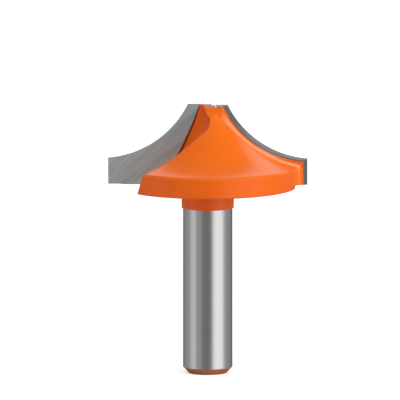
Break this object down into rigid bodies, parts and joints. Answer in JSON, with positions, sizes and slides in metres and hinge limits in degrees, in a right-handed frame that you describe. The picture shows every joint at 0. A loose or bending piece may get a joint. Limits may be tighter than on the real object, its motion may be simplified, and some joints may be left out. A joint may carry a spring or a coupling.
{
  "type": "router bit",
  "caption": "Plunging round-over router bit with brazed carbide edges on a chip-limiting disc body and a plain round shank.",
  "frame": {"origin": "centre of the shank's end face", "axes": "+Z from the shank to the cutting tip, with the two wings along X"},
  "size_m": [0.0512, 0.0458, 0.0696],
  "materials": {
    "coated_steel": "glossy orange non-stick coat on steel; the shank is bare ground steel and the tip is ground flat and bare",
    "carbide": "ground carbide with fine slanted grinding lines",
    "braze": "thin dull line of silver braze"
  },
  "bodies": {
    "root": {"cutter_body": "coated_steel", "left_carbide_tip": "carbide", "right_carbide_tip": "carbide", "left_braze_joint": "braze", "right_braze_joint": "braze"}
  },
  "joints": []
}
